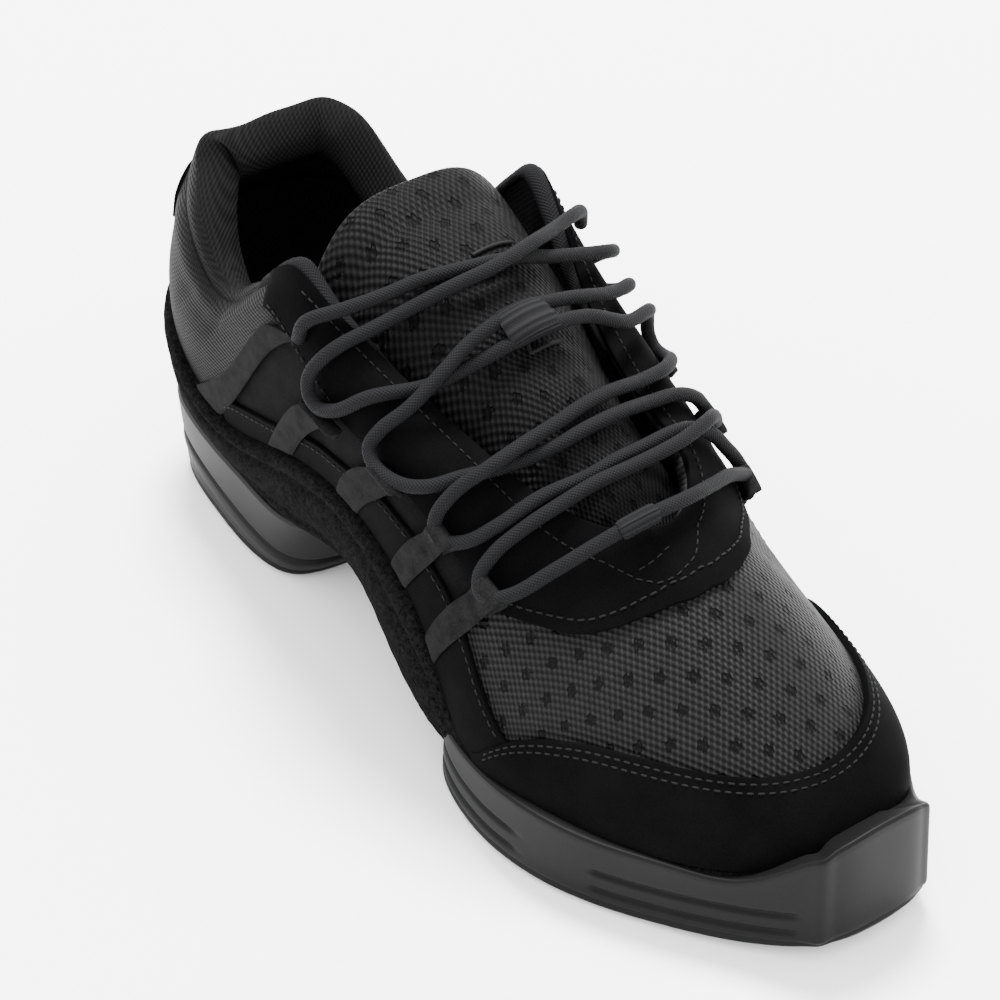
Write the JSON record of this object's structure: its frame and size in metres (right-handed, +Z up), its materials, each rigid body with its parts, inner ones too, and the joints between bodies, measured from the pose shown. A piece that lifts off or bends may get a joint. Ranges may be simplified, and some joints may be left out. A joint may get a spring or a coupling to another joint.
{
  "type": "dance sneaker",
  "caption": "Split-sole dance sneaker, right foot: arched midfoot, padded collar and tongue, side lace tabs, crossed cord lace and toe cap.",
  "frame": {"origin": "on the floor under the middle of the heel unit, on the long axis of the shoe", "axes": "+X from heel to toe, +Y to the inner (medial) side, +Z up from the floor"},
  "size_m": [0.2665, 0.0997, 0.1147],
  "materials": {
    "rubber": "matt moulded",
    "napped_wrap": "napped",
    "sandwich_mesh": "woven mesh",
    "lining": "padded mesh",
    "nubuck": "matt nubuck",
    "suede": "suede",
    "cord": "braided cord",
    "elastic": "ribbed elastic"
  },
  "bodies": {
    "root": {"outsole_forefoot": "rubber", "outsole_heel": "rubber", "arch_wrap": "napped_wrap", "upper": "sandwich_mesh", "insole": "lining", "tongue": "sandwich_mesh", "collar_padding": "lining", "toe_cap": "nubuck", "eyestay_saddle": "nubuck", "heel_patch": "nubuck", "side_band_lateral": "nubuck", "side_band_medial": "nubuck", "rear_strap_lateral": "suede", "rear_strap_medial": "suede", "lace_tab_1_lateral": "suede", "lace_tab_2_lateral": "suede", "lace_tab_3_lateral": "suede", "lace_tab_4_lateral": "suede", "lace_tab_1_medial": "suede", "lace_tab_2_medial": "suede", "lace_tab_3_medial": "suede", "lace_tab_4_medial": "suede", "lace": "cord", "keeper_mid": "elastic", "keeper_bottom": "elastic"}
  },
  "joints": []
}
